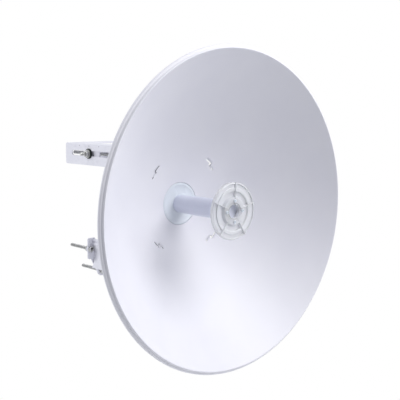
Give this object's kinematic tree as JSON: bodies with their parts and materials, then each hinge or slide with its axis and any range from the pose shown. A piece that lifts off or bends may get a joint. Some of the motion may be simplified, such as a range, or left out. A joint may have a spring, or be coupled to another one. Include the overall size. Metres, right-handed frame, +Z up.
{
  "type": "microwave link dish antenna",
  "caption": "Deep parabolic dish on a pole mount: clear subreflector on a feed tube, radio behind, tilt frame, slotted elevation arm and clamps for a round pole.",
  "frame": {"origin": "on the axis of the pole that the clamps grip, beside the lower clamp and 140 mm below the dish's axis", "axes": "+Z up along the pole, +X out of the dish along its axis, Y across"},
  "size_m": [0.5001, 0.6459, 0.646],
  "materials": {
    "powder_coat": "white powder coat, satin, fine orange peel",
    "pale_plastic": "pale bluish translucent plastic",
    "feed_plastic": "blue-grey moulded plastic, satin",
    "clear_plastic": "clear polycarbonate",
    "white_plastic": "white UV-stable plastic, fine texture",
    "grey_plastic": "grey moulded plastic",
    "lens_plastic": "frosted light pipe",
    "black_nylon": "black nylon",
    "rubber": "matt silicone rubber",
    "cast_aluminium": "die-cast aluminium, as cast",
    "aluminium": "drawn aluminium",
    "zinc_steel": "zinc-plated and stainless steel",
    "dark_washer": "dark oxide spring washer",
    "tin_plate": "tin-plated steel sheet",
    "brass": "brass pin",
    "board": "green solder-mask circuit board"
  },
  "bodies": {
    "pole_bracket": {"lower_bracket": "powder_coat", "lower_clamp_bolts": "zinc_steel", "tilt_pivot_bolts": "zinc_steel", "tilt_pivot_washers": "black_nylon", "tilt_pivot_nuts": "zinc_steel", "upper_front_jaw": "powder_coat", "upper_clamp_rods": "zinc_steel", "upper_front_nuts": "zinc_steel"},
    "antenna": {"reflector": "powder_coat", "vertex_plate": "pale_plastic", "feed_base": "feed_plastic", "feed_sleeve": "feed_plastic", "feed_seal": "rubber", "waveguide_tube": "aluminium", "subreflector_disc": "clear_plastic", "subreflector_screws": "pale_plastic", "rear_hub": "cast_aluminium", "hub_screws": "zinc_steel", "tilt_frame": "powder_coat", "ground_screw": "zinc_steel", "ground_nut": "zinc_steel", "radio_front_shell": "white_plastic", "radio_rear_shell": "white_plastic", "radio_gasket": "rubber", "radio_screws": "zinc_steel", "frame_screws": "zinc_steel", "circuit_board": "board", "board_screws": "zinc_steel", "rf_shield": "tin_plate", "feed_probes": "brass", "heat_spreader": "aluminium", "data_socket": "tin_plate", "status_lenses": "lens_plastic", "port_cover_pin": "zinc_steel", "arm_pivot_nuts": "zinc_steel", "arm_pivot_bolts": "zinc_steel", "arm_pivot_spacers": "black_nylon"},
    "elevation_arm": {"elevation_arm": "powder_coat"},
    "lower_jaw": {"lower_rear_jaw": "powder_coat", "lower_clamp_nuts": "zinc_steel"},
    "upper_jaw": {"upper_rear_jaw": "powder_coat", "upper_rear_nuts": "zinc_steel", "cross_bolts": "zinc_steel", "cross_bolt_pads": "dark_washer", "cross_bolt_washers": "zinc_steel", "cross_bolt_nuts": "zinc_steel"},
    "port_cover": {"port_cover": "white_plastic"},
    "reset_button": {"reset_button": "grey_plastic"}
  },
  "joints": [
    {"name": "elevation", "type": "hinge", "parent": "pole_bracket", "child": "antenna", "pos_m": [0.0455, 0, 0.015], "axis": [0, 1, 0], "range_deg": [-15, 15]},
    {"name": "arm_pivot", "type": "hinge", "parent": "antenna", "child": "elevation_arm", "pos_m": [0.1405, 0, 0.2375], "axis": [0, 1, 0], "range_deg": [-8, 8]},
    {"name": "lower_jaw_slide", "type": "slide", "parent": "pole_bracket", "child": "lower_jaw", "axis": [-1, 0, 0], "range_m": [0, 0.008]},
    {"name": "upper_jaw_slide", "type": "slide", "parent": "pole_bracket", "child": "upper_jaw", "axis": [-1, 0, 0], "range_m": [0, 0.008]},
    {"name": "port_cover_hinge", "type": "hinge", "parent": "antenna", "child": "port_cover", "pos_m": [0.109, 0, 0.0695], "axis": [0, 1, 0], "range_deg": [0, 95]},
    {"name": "reset_button_press", "type": "slide", "parent": "antenna", "child": "reset_button", "axis": [0, 0, 1], "range_m": [0, 0.0008], "stiffness_N_per_m": 400, "springref_m": -0.0005}
  ],
  "couplings": [
    {"joint": "arm_pivot", "follows": "elevation", "ratio": -0.5}
  ]
}
